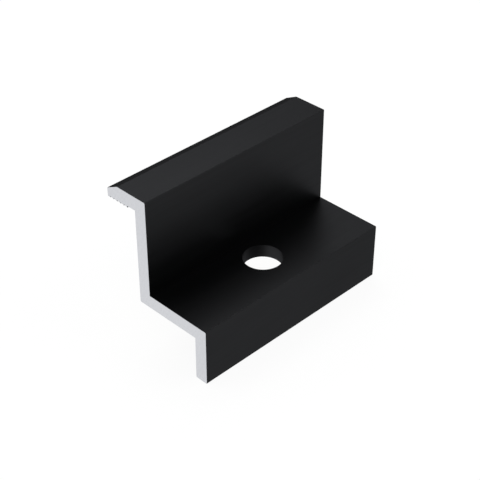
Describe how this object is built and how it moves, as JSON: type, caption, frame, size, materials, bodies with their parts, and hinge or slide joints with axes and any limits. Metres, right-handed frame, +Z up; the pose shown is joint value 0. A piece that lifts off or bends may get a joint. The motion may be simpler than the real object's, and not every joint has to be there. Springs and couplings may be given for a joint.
{
  "type": "solar end clamp",
  "caption": "Stepped extruded clamp: a toothed lip grips a solar module's edge, a drilled shelf takes the bolt, and a leg stands on the rail.",
  "frame": {"origin": "centre of the bolt hole, on the shelf's top face where the bolt's head or washer sits", "axes": "+Z up along the bolt, +Y along the extrusion, -X towards the module under the lip and +X towards the leg"},
  "size_m": [0.027, 0.05, 0.035],
  "materials": {
    "black_anodised": "satin black anodised on every extruded face and in the bolt hole; the two sawn ends are bare aluminium"
  },
  "bodies": {
    "root": {"end_clamp": "black_anodised"}
  },
  "joints": []
}
